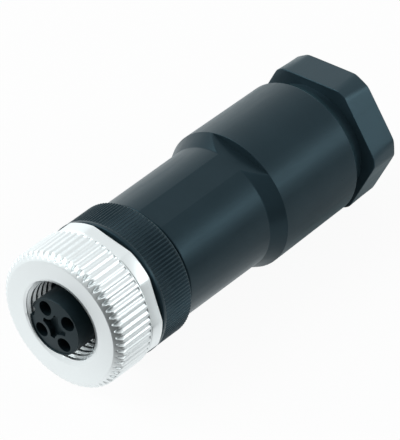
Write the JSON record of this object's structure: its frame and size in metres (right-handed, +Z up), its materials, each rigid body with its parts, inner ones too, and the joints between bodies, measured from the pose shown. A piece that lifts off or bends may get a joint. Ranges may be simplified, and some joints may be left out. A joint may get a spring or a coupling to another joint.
{
  "type": "M12 circular cable connector",
  "caption": "Straight female M12 cable connector with a fluted coupling ring, knurled collar, stepped sleeve, screw terminals and a hexagonal pressing nut.",
  "frame": {"origin": "on the connector's axis, 1 mm behind the coupling ring's front face, inside the mouth of the coupling thread", "axes": "+X along the axis towards the cable end, the mating end faces -X, +Z up with the connector lying on its side"},
  "size_m": [0.0574, 0.0212, 0.02],
  "materials": {
    "nickel_plating": "satin nickel plating on turned brass",
    "black_plastic": "black moulded polyamide, satin",
    "insert_plastic": "black moulded contact carrier",
    "seal_rubber": "black nitrile rubber",
    "gold_plating": "gold-plated contacts",
    "terminal_metal": "nickel-plated brass terminal",
    "screw_steel": "zinc-plated steel"
  },
  "bodies": {
    "core": {"contact_insert": "insert_plastic", "flange_bush": "black_plastic", "face_seal": "seal_rubber", "knurled_collar": "black_plastic", "terminal_carrier": "insert_plastic", "contact_1": "gold_plating", "contact_2": "gold_plating", "contact_3": "gold_plating", "contact_4": "gold_plating", "terminal_block_1": "terminal_metal", "terminal_block_2": "terminal_metal", "terminal_block_3": "terminal_metal", "terminal_block_4": "terminal_metal"},
    "ring_carrier": {"retaining_ring": "screw_steel"},
    "ring": {"coupling_ring": "nickel_plating"},
    "sleeve_carrier": {"sleeve_seal": "seal_rubber"},
    "sleeve": {"cable_sleeve": "black_plastic"},
    "gland": {"clamping_cage": "black_plastic", "cable_grommet": "seal_rubber"},
    "nut": {"pressing_nut": "black_plastic"},
    "plate_1": {"clamp_plate_1": "screw_steel"},
    "screw_1": {"terminal_screw_1": "screw_steel"},
    "plate_2": {"clamp_plate_2": "screw_steel"},
    "screw_2": {"terminal_screw_2": "screw_steel"},
    "plate_3": {"clamp_plate_3": "screw_steel"},
    "screw_3": {"terminal_screw_3": "screw_steel"},
    "plate_4": {"clamp_plate_4": "screw_steel"},
    "screw_4": {"terminal_screw_4": "screw_steel"}
  },
  "joints": [
    {"name": "ring_play", "type": "slide", "parent": "core", "child": "ring_carrier", "axis": [1, 0, 0], "range_m": [-0.0002, 0.0003]},
    {"name": "ring_spin", "type": "hinge", "parent": "ring_carrier", "child": "ring", "pos_m": [0, 0, 0], "axis": [1, 0, 0], "continuous": true},
    {"name": "sleeve_travel", "type": "slide", "parent": "core", "child": "sleeve_carrier", "axis": [1, 0, 0], "range_m": [0, 0.0055]},
    {"name": "sleeve_turn", "type": "hinge", "parent": "sleeve_carrier", "child": "sleeve", "pos_m": [0, 0, 0], "axis": [1, 0, 0], "range_deg": [0, 1980]},
    {"name": "gland_travel", "type": "slide", "parent": "sleeve", "child": "gland", "axis": [1, 0, 0], "range_m": [-0.00015, 0.008]},
    {"name": "nut_turn", "type": "hinge", "parent": "gland", "child": "nut", "pos_m": [0.04, 0, 0], "axis": [1, 0, 0], "range_deg": [-54, 2880]},
    {"name": "plate_1_travel", "type": "slide", "parent": "core", "child": "plate_1", "axis": [0, 0.8192, -0.5736], "range_m": [0, 0.001]},
    {"name": "screw_1_turn", "type": "hinge", "parent": "plate_1", "child": "screw_1", "pos_m": [0.0232, 0, 0], "axis": [0, 0.8192, -0.5736], "range_deg": [0, 900]},
    {"name": "plate_2_travel", "type": "slide", "parent": "core", "child": "plate_2", "axis": [0, 0.5736, 0.8192], "range_m": [0, 0.001]},
    {"name": "screw_2_turn", "type": "hinge", "parent": "plate_2", "child": "screw_2", "pos_m": [0.0232, 0, 0], "axis": [0, 0.5736, 0.8192], "range_deg": [0, 900]},
    {"name": "plate_3_travel", "type": "slide", "parent": "core", "child": "plate_3", "axis": [0, -0.8192, 0.5736], "range_m": [0, 0.001]},
    {"name": "screw_3_turn", "type": "hinge", "parent": "plate_3", "child": "screw_3", "pos_m": [0.0232, 0, 0], "axis": [0, -0.8192, 0.5736], "range_deg": [0, 900]},
    {"name": "plate_4_travel", "type": "slide", "parent": "core", "child": "plate_4", "axis": [0, -0.5736, -0.8192], "range_m": [0, 0.001]},
    {"name": "screw_4_turn", "type": "hinge", "parent": "plate_4", "child": "screw_4", "pos_m": [0.0232, 0, 0], "axis": [0, -0.5736, -0.8192], "range_deg": [0, 900]}
  ],
  "couplings": [
    {"joint": "sleeve_travel", "follows": "sleeve_turn", "m_per_rad": 0.00015915},
    {"joint": "gland_travel", "follows": "nut_turn", "m_per_rad": 0.00015915},
    {"joint": "screw_1_turn", "follows": "plate_1_travel", "rad_per_m": 15708},
    {"joint": "screw_2_turn", "follows": "plate_2_travel", "rad_per_m": 15708},
    {"joint": "screw_3_turn", "follows": "plate_3_travel", "rad_per_m": 15708},
    {"joint": "screw_4_turn", "follows": "plate_4_travel", "rad_per_m": 15708}
  ]
}
